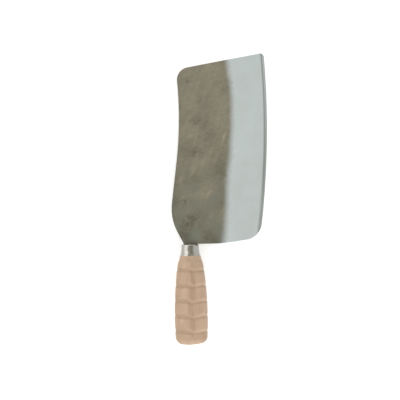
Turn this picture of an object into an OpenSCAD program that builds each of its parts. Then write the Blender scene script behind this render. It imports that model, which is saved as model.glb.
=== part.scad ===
// Chinese cleaver with a forged, taper-ground, three-layer blade on a carved round handle.
// Sizes are millimetres. The knife is drawn with +X towards the cutting edge and +Y along
// the handle axis towards the tip, from the middle of the blade's heel, and is then laid
// down as it rests on a table: on the handle's belly and on the blade's far end.

/* [Blade outline] */
// Length of the blade, from the heel to the tip end on the handle axis
blade_len = 193; // [150:1:230]
// Lean of the tip end: how much longer the blade is towards the edge, in degrees
tip_lean = 10.4; // [0:0.2:16]
// Distance from the handle axis to the fullest point of the cutting edge
edge_out = 86.3; // [70:0.5:110]
// Height above the heel at which the cutting edge is fullest
edge_full_at = 146; // [100:1:170]
// Radius of the cutting edge's long curve
edge_r = 950; // [600:10:2000]
// Distance from the handle axis to the deepest point of the hollow in the back
hollow_out = 9.9; // [7:0.1:14]
// Height above the heel of the hollow's deepest point
hollow_at = 143; // [120:1:160]
// Radius of the hollow in the back
hollow_r = 430; // [300:10:700]
// Lean of the straight part of the back under the hollow, in degrees
back_lean = 7.2; // [5:0.1:9]
// Distance from the handle axis to the back's lower end, at the ferrule
neck_out = 6.6; // [5.8:0.1:9]
// Lean of the back's lower end, from the ferrule up to the hump, in degrees
neck_lean = 27.4; // [20:0.2:40]
// Radius of the hump between the two straight parts of the back
hump_r = 54; // [20:1:70]
// Distance from the handle axis at which the heel starts to curve up
heel_flat = 24; // [12:0.5:40]
// Radius of the heel's curve
heel_r = 200; // [150:1:400]
// Radius of the corner between the heel and the cutting edge
heel_corner_r = 20; // [4:0.5:30]
// Radius of the corner between the back and the tip end
tip_corner_r = 12; // [2:0.5:20]
// Radius of the corner between the tip end and the cutting edge
point_r = 2; // [0.6:0.1:6]

/* [Blade section] */
// Thickness at the back, by the heel
back_t = 3.4; // [2.4:0.1:5]
// Thickness at the grind line, by the heel
grind_t = 3.0; // [2:0.1:4.4]
// Loss of thickness from the heel to the tip end
tip_loss = 0.5; // [0.1:0.05:0.6]
// Width of the ground bevel, from the grind line to the edge
ground_w = 40.5; // [20:0.5:60]
// Thickness at the shoulder of the sharpened edge, by the heel
shoulder_t = 1.1; // [1:0.05:1.6]
// Width of the sharpened edge, by the heel
sharp_w = 3.5; // [1.5:0.1:6]
// Thickness of the hard core layer, by the heel
core_t = 0.9; // [0.84:0.02:1]
// Thickness left at the very edge
edge_t = 0.15; // [0.1:0.01:0.2]

/* [Tang] */
// Width of the tang's flat root, where it is welded to the heel
tang_w = 11; // [8:0.1:11.4]
// Thickness of the tang's flat root
tang_t = 3; // [2:0.1:3.2]
// Length over which the root narrows to the rod
root_len = 18; // [10:0.5:30]
// Diameter of the tang's rod
rod_d = 6; // [4:0.1:8]
// Diameter of the peened head
head_d = 9.6; // [8.6:0.1:11]
// Height of the peened head
head_h = 1.6; // [1:0.1:2.5]
// Clearance round the tang in the ferrule, the wood and the washer
tang_gap = 0.2; // [0.1:0.05:0.4]

/* [Ferrule] */
// Length of the ferrule
ferrule_len = 12.5; // [8:0.5:20]
// Diameter of the ferrule's upper, straight part
collar_d = 18.8; // [16:0.1:22]
// How much the ferrule widens to its mouth, on the diameter
flare = 2.6; // [1:0.1:4]
// Length of the straight part under the shoulder
collar_len = 1.2; // [0.5:0.1:3]
// Radius of the drawn shoulder
shoulder_r = 2.2; // [1.4:0.1:3.5]
// Thickness of the ferrule's sheet
sheet_t = 0.8; // [0.5:0.1:1.2]
// Clearance between the ferrule and the wood's neck
neck_gap = 0.1; // [0.05:0.05:0.3]

/* [Handle] */
// Length of the wood that shows, from the ferrule to the butt
grip_len = 93; // [70:0.5:120]
// Diameter of the belly, where the handle is thickest
belly_d = 36.2; // [33:0.2:42]
// Distance of the belly below the ferrule
belly_at = 67.5; // [60:0.5:80]
// Radius of the long swell through the belly
swell_r = 480; // [440:10:900]
// Length of the rounder stretch between the ferrule and the swell
round_len = 19.5; // [12:0.5:26]
// Step from the ferrule's mouth out to the wood
wood_step = 0.4; // [0.2:0.05:1]
// Radius of the butt's rounded corner
butt_r = 7; // [3:0.5:8]
// Slant of the butt end, in degrees
butt_slant = 4.5; // [0:0.5:6]

/* [Carving] */
// Distance of the first ring groove below the ferrule
ring_first = 15.1; // [8:0.1:25]
// Distance from one ring groove to the next
ring_step = 16.2; // [12:0.1:30]
// Least distance of the last ring groove from the butt
ring_last = 10; // [9:0.5:20]
// Width of a ring groove
ring_w = 3.4; // [2.8:0.1:5]
// Depth of a ring groove
ring_depth = 1.3; // [0.9:0.1:1.6]
// Number of tiles round the handle
tile_count = 6; // [5:1:9]
// Angle of the narrow falling face beside each tile, in degrees
tile_fall = 20; // [8:1:24]
// Depth of each tile's low side under the round
tile_depth = 0.9; // [0.4:0.05:1.3]
// How far the middle of a tile's wide face stands out of the flat between its two sides
tile_crown = 0.9; // [0.3:0.05:1]
// Turn of the first tile's high side from straight up, in degrees
tile_turn = -5; // [-20:1:20]

/* [Butt] */
// Diameter of the washer under the peened head
washer_d = 13; // [12:0.1:16]
// Thickness of the washer
washer_t = 1; // [0.6:0.1:1.6]
// Clearance round the washer in its seat
seat_gap = 0.3; // [0.1:0.1:0.8]
// Depth of the peened head under the butt
head_under = 0.4; // [0.2:0.1:1]

/* [Hidden] */

// Facets on a full circle: the blade's long curves, ordinary round work
LONG_FN = 720;
ROUND_FN = 96;
// A cut reaches this far past the solid that it cuts
past = 1;
// A rounding reaches this far past the lines that it joins, so that they cross and don't just touch
cross_by = 0.002;

scale_colour = [0.47, 0.46, 0.38];
core_colour = [0.62, 0.64, 0.64];
tang_colour = [0.35, 0.34, 0.32];
ferrule_colour = [0.78, 0.77, 0.73];
wood_colour = [0.76, 0.65, 0.54];
washer_colour = [0.66, 0.66, 0.64];

// Directions and crossings in the plane of the blade
function along(angle) = [cos(angle), sin(angle)];
function unit(v) = v / norm(v);
function left_of(v) = [-v.y, v.x];
function line_meets_line(p, d, q, e) = p + d * cross(q - p, e) / cross(d, e);
function line_meets_circle(p, d, c, r) =
    let (foot = p + d * ((c - p) * d), off = norm(c - foot))
    foot + d * sqrt(r * r - off * off);
function circles_meet(c1, r1, c2, r2) =
    let (
        apart = norm(c2 - c1),
        d = (c2 - c1) / apart,
        t = (apart * apart + r1 * r1 - r2 * r2) / (2 * apart)
    )
    c1 + d * t + left_of(d) * sqrt(r1 * r1 - t * t);

// The blade's long curves and straight lines
edge_centre = [edge_out - edge_r, edge_full_at];
hollow_centre = [-hollow_out - hollow_r, hollow_at];
heel_centre = [heel_flat, heel_r];
neck_end = [-neck_out, 0];
neck_dir = along(90 + neck_lean);
back_dir = along(90 - back_lean);
back_in = 0.02;
back_top = hollow_centre + (hollow_r - back_in) * along(-back_lean);
hump_corner = line_meets_line(neck_end, neck_dir, back_top, back_dir);
tip_dir = along(tip_lean);
tip_start = [0, blade_len];
tip_far = line_meets_circle(tip_start, tip_dir, edge_centre, edge_r);

// Where the roundings' centres lie
hump_in = hump_r - cross_by;
hump_centre = line_meets_line(
    neck_end - left_of(neck_dir) * hump_in, neck_dir, back_top - left_of(back_dir) * hump_in, back_dir);
tip_corner_in = tip_corner_r - cross_by;
tip_corner_centre = line_meets_circle(
    tip_start - left_of(tip_dir) * tip_corner_in, tip_dir, hollow_centre, hollow_r + tip_corner_in);
point_corner_in = point_r - cross_by;
point_centre = line_meets_circle(
    tip_start - left_of(tip_dir) * point_corner_in, tip_dir, edge_centre, edge_r - point_corner_in);
heel_corner_in = heel_corner_r - cross_by;
heel_corner_centre = circles_meet(
    heel_centre, heel_r - heel_corner_in, edge_centre, edge_r - heel_corner_in);

// Slopes of the blade's faces
thinning = atan(tip_loss / 2 / blade_len);
cheek_run = edge_out - ground_w + hollow_out;
cheek_slope = (back_t - grind_t) / 2 / cheek_run;
bevel_slope = (grind_t - shoulder_t) / 2 / (ground_w - sharp_w);
sharp_slope = (shoulder_t - edge_t) / 2 / sharp_w;

// The bevel thins with the cheeks: its curves of one thickness drift inwards on the way to the
// tip, so their centre lies lower than the edge's
shoulder_heel = [edge_centre.x + sqrt(pow(edge_r - sharp_w, 2) - pow(edge_centre.y, 2)), 0];
bevel_drift = tan(thinning) / bevel_slope;
bevel_centre = edge_centre - [0, bevel_drift * (edge_r - sharp_w)];

// Heights along the handle axis
wood_top = -ferrule_len;
butt_y = wood_top - grip_len;
rod_top = -root_len + rod_d;
seat_y = butt_y + head_under + head_h + washer_t;
belly_y = wood_top - belly_at;
round_y = wood_top - round_len;
ring_count = floor((grip_len - ring_first - ring_last) / ring_step) + 1;
ring_ys = [for (i = [0:ring_count - 1]) wood_top - ring_first - i * ring_step];

// The handle's side: one long arc through the belly, and a rounder arc up to the ferrule
belly_r = belly_d / 2;
mouth_r = (collar_d + flare) / 2;
wood_top_r = mouth_r + wood_step;
swell_centre = [belly_r - swell_r, belly_y];
round_start = [swell_centre.x + sqrt(pow(swell_r, 2) - pow(round_y - belly_y, 2)), round_y];
round_in = unit(swell_centre - round_start);
round_chord = [wood_top_r, wood_top] - round_start;
round_r = (round_chord * round_chord) / (2 * (round_chord * round_in));
round_centre = round_start + round_in * round_r;
function stock_r(y) = y < round_y
    ? swell_centre.x + sqrt(pow(swell_r, 2) - pow(y - swell_centre.y, 2))
    : round_centre.x + sqrt(pow(round_r, 2) - pow(y - round_centre.y, 2));

// Places a profile, drawn with x outwards and y upwards, as a turned piece round the handle axis
module turned() {
    rotate([-90, 0, 0]) rotate_extrude($fn = ROUND_FN) children();
}

// Places a shape, drawn across the handle with +Y down through the cheeks, at a height along the axis
module at_height(y) {
    translate([0, y, 0]) rotate([-90, 0, 0]) children();
}

// The corner outside a rounding, between the directions from its centre to the two sides. It
// reaches twice the radius out, which is past any corner that is rounded here.
module outside_rounding(centre, r, side_a, side_b) {
    reach = 2 * r;
    middle = unit(side_a + side_b);
    past_corner = reach / (middle * side_a);
    difference() {
        polygon([centre, centre + side_a * reach, centre + middle * past_corner, centre + side_b * reach]);
        translate(centre) circle(r, $fn = LONG_FN);
    }
}

// Outline of the blade
module outline() {
    far = 2 * edge_out;
    difference() {
        intersection() {
            polygon([
                neck_end, hump_corner, back_top, back_top - [far, 0], tip_start - tip_dir * far,
                tip_start + tip_dir * far, [far, 0]
            ]);
            translate(edge_centre) circle(edge_r, $fn = LONG_FN);
            union() {
                translate(heel_centre) circle(heel_r, $fn = LONG_FN);
                translate([-far, 0]) square([far + heel_flat, 2 * heel_r]);
            }
        }
        translate(hollow_centre) circle(hollow_r, $fn = LONG_FN);
        outside_rounding(hump_centre, hump_r, left_of(neck_dir), left_of(back_dir));
        outside_rounding(
            tip_corner_centre, tip_corner_r, unit(hollow_centre - tip_corner_centre), left_of(tip_dir));
        outside_rounding(point_centre, point_r, left_of(tip_dir), unit(point_centre - edge_centre));
        outside_rounding(
            heel_corner_centre, heel_corner_r, unit(heel_corner_centre - edge_centre),
            unit(heel_corner_centre - heel_centre));
    }
}

// Everything below one plane that thins towards the tip end, t above the blade's middle at the heel
module below_face(t, slope) {
    reach = 2 * blade_len;
    rotate([-thinning, 0, 0]) translate([-hollow_out, 0, t]) rotate([0, atan(slope), 0])
        translate([-reach / 2, -reach / 2, -reach / 4]) cube([reach, 2 * reach, reach / 4]);
}

// Everything under a flat cone that is t above the blade's middle at radius r, and down to a
// blade's thickness below the middle. It is turned so that its seam lies clear of the blade.
module under_cone(centre, r, t, slope) {
    middle_r = r + t / slope;
    widening = back_t / slope;
    translate([centre.x, centre.y, -back_t]) rotate([0, 0, 180])
        cylinder(h = 2 * back_t, r1 = middle_r + widening, r2 = middle_r - widening, $fn = LONG_FN);
}

module under_sharp_side() {
    under_cone(edge_centre, edge_r, edge_t / 2, sharp_slope);
}

// The soft iron over the core: its cheek, the ground bevel and the sharpened edge
module cladding() {
    difference() {
        intersection() {
            linear_extrude(back_t) outline();
            below_face(back_t / 2, cheek_slope);
            under_cone(bevel_centre, norm(shoulder_heel - bevel_centre), shoulder_t / 2, bevel_slope);
            under_sharp_side();
        }
        below_face(core_t / 2, 0);
    }
}

module upper_cladding() {
    lay_down() color(scale_colour) cladding();
}

module lower_cladding() {
    lay_down() color(scale_colour) mirror([0, 0, 1]) cladding();
}

module edge_steel() {
    lay_down() color(core_colour) intersection() {
        translate([0, 0, -core_t]) linear_extrude(2 * core_t) outline();
        below_face(core_t / 2, 0);
        mirror([0, 0, 1]) below_face(core_t / 2, 0);
        under_sharp_side();
        mirror([0, 0, 1]) under_sharp_side();
    }
}

// The tang's flat root, or the slot for it with a gap all round that runs past its top
module root(gap, above) {
    half = tang_w / 2 + gap;
    rod_half = rod_d / 2 + gap;
    translate([0, 0, -tang_t / 2 - gap]) linear_extrude(tang_t + 2 * gap) polygon([
        [-half, above], [half, above], [half, 0], [rod_half, -root_len - gap],
        [-rod_half, -root_len - gap], [-half, 0]
    ]);
}

module tang() {
    head_top = seat_y - washer_t;
    lay_down() color(tang_colour) {
        root(0, 0);
        turned() polygon([
            [0, rod_top], [tang_t / 2, rod_top], [rod_d / 2, rod_top - rod_d / 2], [rod_d / 2, head_top],
            [0, head_top]
        ]);
        turned() intersection() {
            dome_r = (pow(head_d / 2, 2) + pow(head_h, 2)) / (2 * head_h);
            translate([0, head_top - head_h + dome_r]) circle(dome_r, $fn = ROUND_FN);
            translate([0, head_top - head_h]) square([head_d / 2, head_h]);
        }
    }
}

// Half profile of the ferrule, or of a shape the given distance inside it
module ferrule_profile(inside) {
    collar_r = collar_d / 2;
    flare_y = -shoulder_r - collar_len;
    drop = flare_y - wood_top;
    flare_r = (drop * drop + pow(flare / 2, 2)) / flare;
    difference() {
        union() {
            intersection() {
                translate([collar_r - shoulder_r, -shoulder_r]) circle(shoulder_r - inside, $fn = ROUND_FN);
                translate([0, -shoulder_r]) square([collar_r, shoulder_r]);
            }
            translate([0, -shoulder_r]) square([collar_r - shoulder_r, shoulder_r - inside]);
            translate([0, flare_y]) square([collar_r - inside, collar_len]);
            translate([0, wood_top]) square([mouth_r, drop]);
        }
        translate([collar_r + flare_r, flare_y]) circle(flare_r + inside, $fn = LONG_FN);
    }
}

module ferrule() {
    lay_down() color(ferrule_colour) difference() {
        turned() ferrule_profile(0);
        turned() ferrule_profile(sheet_t);
        root(tang_gap, past);
    }
}

// The turned stick, before it is carved
module stock() {
    side = belly_r + past;
    turned() intersection() {
        translate([0, butt_y - past]) square([side, grip_len + past]);
        translate(swell_centre) circle(swell_r, $fn = LONG_FN);
        union() {
            translate(round_centre) circle(round_r + cross_by, $fn = LONG_FN);
            translate([0, butt_y - 2 * past]) square([side, round_y - butt_y + 2 * past]);
        }
    }
}

// Everything above the slanted, rounded butt end
module above_butt() {
    corner = [stock_r(butt_y + butt_r) - butt_r, butt_r];
    opening = butt_slant + asin((belly_y - butt_y) / swell_r);
    turn_point = corner + (butt_r - cross_by) * along(-opening);
    translate([0, butt_y, 0]) rotate([0, 0, butt_slant]) turned() {
        square([corner.x, grip_len + past]);
        translate(corner) circle(butt_r, $fn = ROUND_FN);
        polygon([
            corner, turn_point, turn_point + (grip_len + past) * along(90 - opening),
            [corner.x, grip_len + past]
        ]);
    }
}

// Section across one row of tiles. Each tile has a narrow falling face, and a wide face that
// rises to the next tile's high side and is crowned in its middle.
function tile_points(r) =
    let (step = 360 / tile_count, low_r = r * (1 - tile_depth / belly_r), crown = r * tile_crown / belly_r)
    [
        for (i = [0:tile_count - 1])
            let (
                turn = tile_turn - 90 + i * step,
                high = r * along(turn),
                low = low_r * along(turn + tile_fall),
                flat = (low + r * along(turn + step)) / 2
            )
            each [high, low, flat + crown * unit(flat)]
    ];

// The rows of tiles between the rings, each as wide as the stock at its two ends
module tile_rows() {
    proud = 0.3;
    ends = concat([wood_top], ring_ys, [butt_y - past]);
    for (i = [0:len(ends) - 2]) {
        low_r = stock_r(ends[i + 1]) + proud;
        high_r = stock_r(ends[i]) + proud;
        at_height(ends[i + 1]) linear_extrude(ends[i] - ends[i + 1], scale = high_r / low_r)
            polygon(tile_points(low_r));
    }
}

// The cutter of one ring groove
module ring_cut(y) {
    cut_r = pow(ring_w, 2) / (8 * ring_depth) + ring_depth / 2;
    turned() translate([stock_r(y) - ring_depth + cut_r, y]) circle(cut_r, $fn = ROUND_FN);
}

module handle() {
    lay_down() color(wood_colour) difference() {
        union() {
            intersection() {
                stock();
                above_butt();
                tile_rows();
            }
            turned() ferrule_profile(sheet_t + neck_gap);
        }
        for (y = ring_ys) ring_cut(y);
        root(tang_gap, past);
        at_height(butt_y - past)
            cylinder(h = rod_top + tang_gap - butt_y + past, d = rod_d + 2 * tang_gap, $fn = ROUND_FN);
        at_height(butt_y - belly_r)
            cylinder(h = seat_y - butt_y + belly_r, d = washer_d + 2 * seat_gap, $fn = ROUND_FN);
    }
}

module butt_washer() {
    lay_down() color(washer_colour) at_height(seat_y - washer_t) difference() {
        cylinder(h = washer_t, d = washer_d, $fn = ROUND_FN);
        translate([0, 0, -past]) cylinder(h = washer_t + 2 * past, d = rod_d + 2 * tang_gap, $fn = ROUND_FN);
    }
}

// The two points of the blade's far end that touch the table: where the grind line meets the
// tip end, and the shoulder of the sharpened edge
far_loss = tan(thinning) * tip_far.y;
grind_end = line_meets_circle(tip_start, tip_dir, edge_centre, edge_r - ground_w);
grind_half = back_t / 2 - cheek_slope * (grind_end.x + hollow_out) - far_loss;
point_in = sharp_w - far_loss / (sharp_slope - bevel_slope);
point_half = edge_t / 2 + point_in * sharp_slope;
point_end = tip_far - tip_dir * point_in;

// The table's slopes seen from the knife, along X and along Y: the plane through those two
// points that touches the underside of the handle's swell
function side_slope(b) =
    (grind_half - point_half - b * (point_end.y - grind_end.y)) / (point_end.x - grind_end.x);
function long_slope(b) =
    let (from_centre = [
        grind_end.y - swell_centre.y, -grind_half - side_slope(b) * grind_end.x + swell_centre.x
    ])
    tan(atan2(from_centre.y, from_centre.x) + asin(swell_r / norm(from_centre)));
table_y = long_slope(long_slope(long_slope(0.06)));
table_x = side_slope(table_y);
table_depth = grind_half + table_x * grind_end.x + table_y * grind_end.y;
pitch = atan(table_y);
roll = atan(table_x * cos(pitch));

// Lays the knife on the table, with the middle of its length and width over the origin
module lay_down() {
    width_middle = (edge_out + hump_centre.x - hump_r) / 2;
    butt_flat_r = stock_r(butt_y + butt_r) - butt_r;
    butt_reach = butt_y * cos(pitch) - butt_flat_r * norm([sin(butt_slant), sin(pitch)]);
    length_middle = (tip_far.y * cos(pitch) + butt_reach) / 2;
    translate([-width_middle, -length_middle, table_depth * cos(pitch) * cos(roll)])
        rotate([-pitch, roll, 0]) children();
}

upper_cladding();
lower_cladding();
edge_steel();
tang();
ferrule();
handle();
butt_washer();
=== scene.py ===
import math

import bmesh
import bpy
import numpy as np
from mathutils import Matrix, Vector, geometry


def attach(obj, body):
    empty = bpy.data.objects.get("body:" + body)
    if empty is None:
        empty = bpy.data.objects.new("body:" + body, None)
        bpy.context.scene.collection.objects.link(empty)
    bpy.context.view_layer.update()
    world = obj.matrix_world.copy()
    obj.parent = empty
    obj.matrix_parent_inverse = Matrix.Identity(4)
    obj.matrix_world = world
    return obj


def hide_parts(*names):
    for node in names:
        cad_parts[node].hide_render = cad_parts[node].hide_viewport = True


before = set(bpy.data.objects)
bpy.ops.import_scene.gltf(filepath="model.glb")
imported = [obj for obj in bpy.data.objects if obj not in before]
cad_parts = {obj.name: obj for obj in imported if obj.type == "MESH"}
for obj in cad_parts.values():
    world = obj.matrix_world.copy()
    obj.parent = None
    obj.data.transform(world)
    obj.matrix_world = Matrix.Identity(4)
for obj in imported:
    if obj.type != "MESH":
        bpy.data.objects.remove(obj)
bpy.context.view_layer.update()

# Looks of a chinese cleaver: a forged, ground blade, a drawn ferrule and a carved wooden handle.
# Sizes are millimetres in the knife's own frame: +X to the cutting edge, +Y along the handle to
# the tip end, +Z out of the upper cheek, from the middle of the heel. The knife's place on the
# table comes from the CAD frame. Angles are degrees, unless a comment says radians.
MM = 0.001
RIDES_ON = "root"

# Blade outline
BLADE_LEN = 193
TIP_LEAN = 10.4
EDGE_OUT = 86.3
EDGE_FULL_AT = 146
EDGE_R = 950
HOLLOW_OUT = 9.9
HOLLOW_AT = 143
HOLLOW_R = 430
BACK_LEAN = 7.2
NECK_OUT = 6.6
NECK_LEAN = 27.4
HUMP_R = 54
HEEL_FLAT = 24
HEEL_R = 200
HEEL_CORNER_R = 20
TIP_CORNER_R = 14
POINT_R = 4.2

# Blade section
BACK_T = 3.4
GRIND_T = 3.0
TIP_LOSS = 0.5
GROUND_W = 40.5
SHOULDER_T = 1.1
SHARP_W = 3.5
CORE_T = 0.9
EDGE_T = 0.15
BACK_ROUND = 0.55
BACK_ROUND_FROM, BACK_ROUND_FULL = 3, 12  # the rounded rim runs out this near to the edge

# The dark line at the sharpened edge's shoulder
LINE_IN = 2.7
LINE_HALF = 0.8
LINE_FROM, LINE_FULL = 40, 90  # heights above the heel between which it gets its full strength
LINE_AT_HEEL = 0.5  # its strength at the heel
LINE_WIDER = 1.5  # and how many times wider it is there
LINE_STRENGTH = 0.75
LINE_COLOUR = "#6E716D"

# Skin of the blade. Waves are given as height or strength, size, and what is added to the seed.
HILL_WAVES = 24  # plain waves that are added up to make hills
FORGED_WAVES = ((0.024, 34, 0), (0.014, 11, 10))
FORGED_IN = 14  # distance behind the grind line at which they have their full height
GROUND_WAVES = (0.004, 22, 20)
PIT_DEPTH = 0.05
WANDER_OVER = (-12, -6, 0, 6, 12)  # the grind line's knots are averaged over these heights
WANDER_REACH = 18  # the cheek follows the grind line's wander this far on either side
FADE_W = 8  # width over which the scale gives way to bare steel
FADE_HEEL, FADE_HEEL_TO = 2, 60  # more of it at the heel, up to this height
FADE_WAVES = (1.2, 6, 60)
FADE_IN, FADE_OUT = -0.48, 0.72  # how it is shared out to the two sides of the grind line

# Tone of the forge scale, from 0 dark to 1 light: for each lighter or darker place by how much,
# where it is and how wide, and the heights above the heel between which it sets in or fades. The
# dark band at the grind line is as wide as it is far behind the line.
SCALE_TONE = 0.60
SCALE_WAVES = ((0.08, 40, 30), (0.045, 9, 40), (0.035, 4.5, 45))
TIP_LIGHTER, TIP_FROM, TIP_FULL = 0.10, 60, 190
HEEL_DARKER, HEEL_TO = 0.42, 34
GRIND_DARKER, GRIND_DARK_IN, GRIND_DARK_FROM, GRIND_DARK_TO = 0.14, 7, 90, 120
HUMP_DARKER, HUMP_DARK_AT, HUMP_DARK_W, HUMP_DARK_FROM, HUMP_DARK_TO = 0.42, -19, 6, 70, 110
STREAK, STREAK_SIZE, STREAK_SEED = 0.14, 6, 50
STREAK_ALONG = (0.85, -0.42, 0.2)  # how the streaks lean and how long they are drawn
STREAK_MOST = 2  # higher hills than this make no stronger streak
STREAK_PATCHES, STREAK_PATCH_SEED = 30, 55
STREAK_PATCH_FROM, STREAK_PATCH_FULL = -0.2, 0.9  # hills between which the patches set in
STREAK_FADE, STREAK_FADE_FROM, STREAK_FADE_TO = 0.6, 120, 170
# painted reflection: the bare steel is mixed lighter towards the tip, from this at the heel, by this much
# more, between these heights
REFLECTION_AT_HEEL, REFLECTION_MORE, REFLECTION_FROM, REFLECTION_FULL = -0.05, 0.35, 10, 130
TARNISH, TARNISH_FROM, TARNISH_TO = 0.4, 40, 110
TARNISH_WAVES = (0.35, 24, 70)

# Ferrule
FERRULE_LEN = 12.5
COLLAR_D = 18.8
FLARE = 2.6
COLLAR_LEN = 1.2
SHOULDER_R = 2.2
SHEET_T = 0.8
SLOT_W = 11.4
SLOT_T = 3.4
SLOT_REACH = 4  # length of the cutter that makes the slot in the ferrule's top
DENT, DENT_SIZE, DENT_SEED = 0.085, 9, 71
DENT_FROM, DENT_FULL = 0.6, 3  # distances below its top between which its dents set in

# Handle
GRIP_LEN = 93
BELLY_D = 36.2
BELLY_AT = 67.5
SWELL_R = 480
ROUND_LEN = 19.5
WOOD_STEP = 0.4
BUTT_R = 7
BUTT_SLANT = 4.5
RING_FIRST = 15.1
RING_STEP = 16.2
RING_COUNT = 5
RING_W = 4.6
RING_DEPTH = 1.25
TILE_COUNT = 6
TILE_FALL = 20
TILE_DEPTH = 0.9
TILE_CROWN = 0.9
TILE_TURN = -5
SEAT_D = 13.6
SEAT_DEPTH = 3.0
BORE_D = 6.4
BORE_MOUTH_IN = 1.2  # the wood's end face inside the ferrule begins this far inside its mouth

# The carving, uneven as a hand leaves it
BUTT_UNEVEN = 0.3  # share by which the butt's corner is rounder on the side away from the edge
BUTT_IN = 0.25  # the butt's slant is measured this far inside the turned stick
TILE_OUT = 0.15  # the tiles' high sides would stand this far out of the turned stick
TILE_EASE = 0.22
TILED_FROM, TILED_FULL = 1.0, 12  # distances below the ferrule between which the tiles set in
UNTILED_OUT = 0.02
TOP_WORN, TOP_WORN_AT, TOP_WORN_W = 0.5, 3.5, 2.5  # the wood's worn upper rim
RING_SHALLOWER = 0.28  # share of their depth that the ring grooves lose at the two sides
RING_EASE = 0.6
RING_ABOVE = 1.5  # how many times wider a groove is towards the blade
RING_AWAY_SIDE = 0.9  # what is added to that on the side away from the edge
RING_BELOW = 0.8  # and how many times wider towards the butt
RING_STEP_OUT = (0.6, 2.2, 2.2, 1.5, 1.0)  # each groove's step at a tile's falling face
RING_STEP_OVER = 0.7  # share of the falling face that the step takes
RING_WAVER = ((0.2, 2, 1), (0.1, 5, 2))  # height, waves round the handle, share of its place
NO_GROOVE = 5  # how far outside the wood a groove's wall is put where there is none
ROW_LEAN = (1, 2, -3.5, -8, -3.5, 1)
KNIFE_MARK, KNIFE_MARK_SIZE, KNIFE_MARK_LONG, KNIFE_MARK_SEED = 0.045, 12, 1.5, 81

# Painted shade and painted light on the handle, and grime round the butt
AWAY_SIDE_TURN = 0.3  # the side away from the edge, turned by this many radians, where the grooves get painted shade
RING_SHADE = 1.5  # painted shade in the ring grooves, for each share that a place lies away from the edge
RING_TONE_OUT = 0.35  # the painted shade and painted light reach this far over the groove's rim
BOTTOM_SHADE, BOTTOM_BELOW, BOTTOM_HALF = 0.5, 0.9, 0.8  # painted shade along a groove's bottom
ROW_FALL_SHADE = (0.3, 0.8, 0.85, 0.8, 0.6, 0.35)  # painted shade on each row's falling faces
FALL_SHADE_FROM, FALL_SHADE_IN, FALL_SHADE_OUT = 0.08, 0.02, 0.14  # where it starts and ends, in radians
FALL_SHADE_AT_SIDE = 0.35  # share of it that is left at the two sides
BUTT_GRIME, BUTT_GRIME_TO = 0.4, 9

# Spacing of the mesh points on the blade's layers, and round the turned pieces
UPPER_STEP = 1.1
LOWER_STEP = 1.7
CORE_COARSER = 6
CORE_RING = 0.4  # distance inside the rim of a ring of points
RIM_RINGS = (0.1, 0.25, 0.45, 0.8)  # and of several, where the rim is rounded
HANDLE_COLUMNS = 300
HANDLE_ROWS = 250
BUTT_ROWS = 16
BUTT_FACE_ROWS = (0.33, 0.66, 1.0)  # from its corner to the washer's seat
FERRULE_COLUMNS = 192
FERRULE_TOP_IN = 0.01  # its top is filled in up to this radius, and the slot cuts it out
FERRULE_CORNER_ROWS = 14
FERRULE_FLARE_ROWS = 24
SAME_POINT = 0.001  # points nearer than this become one
ROW_APART = 0.87  # spacing of a grid's rows, so that its triangles have nearly equal sides
GRID_GAP = 0.6  # share of the spacing that the grid keeps from the outline
RING_GAP = 0.04  # and the rings, in mm
CLOSE = 1e-5  # smallest distance that the filling tells apart


# Directions and crossings in the plane of the blade

def along(angle):
    return np.array([math.cos(math.radians(angle)), math.sin(math.radians(angle))])


def left_of(v):
    return np.array([-v[1], v[0]])


def unit(v):
    return v / np.linalg.norm(v)


def line_meets_circle(p, d, c, r):
    foot = p + d * ((c - p) @ d)
    return foot + d * math.sqrt(r * r - np.sum((c - foot) ** 2))


def line_meets_line(p, d, q, e):
    return p + d * np.cross(q - p, e) / np.cross(d, e)


def circles_meet(c1, r1, c2, r2):
    apart = np.linalg.norm(c2 - c1)
    d = (c2 - c1) / apart
    t = (apart * apart + r1 * r1 - r2 * r2) / (2 * apart)
    return c1 + d * t + left_of(d) * math.sqrt(r1 * r1 - t * t)


def arc(centre, start, end, step):
    """Points on the short arc round centre from start up to, but without, end."""
    r = np.linalg.norm(start - centre)
    a = math.atan2(*(start - centre)[::-1])
    turn = (math.atan2(*(end - centre)[::-1]) - a + math.pi) % (2 * math.pi) - math.pi
    n = max(3, round(abs(turn) * r / step))
    angles = a + turn * np.arange(n) / n
    return centre + r * np.stack([np.cos(angles), np.sin(angles)], axis=1)


def straight(start, end, step):
    n = max(2, round(np.linalg.norm(end - start) / step))
    return start + (end - start) * (np.arange(n) / n)[:, None]


edge_centre = np.array([EDGE_OUT - EDGE_R, EDGE_FULL_AT])
hollow_centre = np.array([-HOLLOW_OUT - HOLLOW_R, HOLLOW_AT])
heel_centre = np.array([HEEL_FLAT, HEEL_R])
tip_dir = along(TIP_LEAN)
tip_start = np.array([0, BLADE_LEN])
back_dir = along(90 - BACK_LEAN)
neck_dir = along(90 + NECK_LEAN)

# Slopes of the blade's faces
thinning = TIP_LOSS / 2 / BLADE_LEN
cheek_slope = (BACK_T - GRIND_T) / 2 / (EDGE_OUT - GROUND_W + HOLLOW_OUT)
bevel_slope = (GRIND_T - SHOULDER_T) / 2 / (GROUND_W - SHARP_W)
sharp_slope = (SHOULDER_T - EDGE_T) / 2 / SHARP_W
shoulder_heel = np.array([edge_centre[0] + math.sqrt((EDGE_R - SHARP_W) ** 2 - edge_centre[1] ** 2), 0])
bevel_centre = edge_centre - np.array([0, thinning / bevel_slope * (EDGE_R - SHARP_W)])
bevel_r = np.linalg.norm(shoulder_heel - bevel_centre)


def core_half(y):
    return CORE_T / 2 - thinning * y


def shoulder_line(from_edge, y):
    """The dark line that the stone leaves where the sharpened edge begins, wider and fainter at
    the heel."""
    towards_tip = rise(y, LINE_FROM, LINE_FULL)
    strength = LINE_AT_HEEL + (1 - LINE_AT_HEEL) * towards_tip
    wider = LINE_WIDER - (LINE_WIDER - 1) * towards_tip
    return strength * np.exp(-((from_edge - LINE_IN) / LINE_HALF / wider) ** 2)


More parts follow.
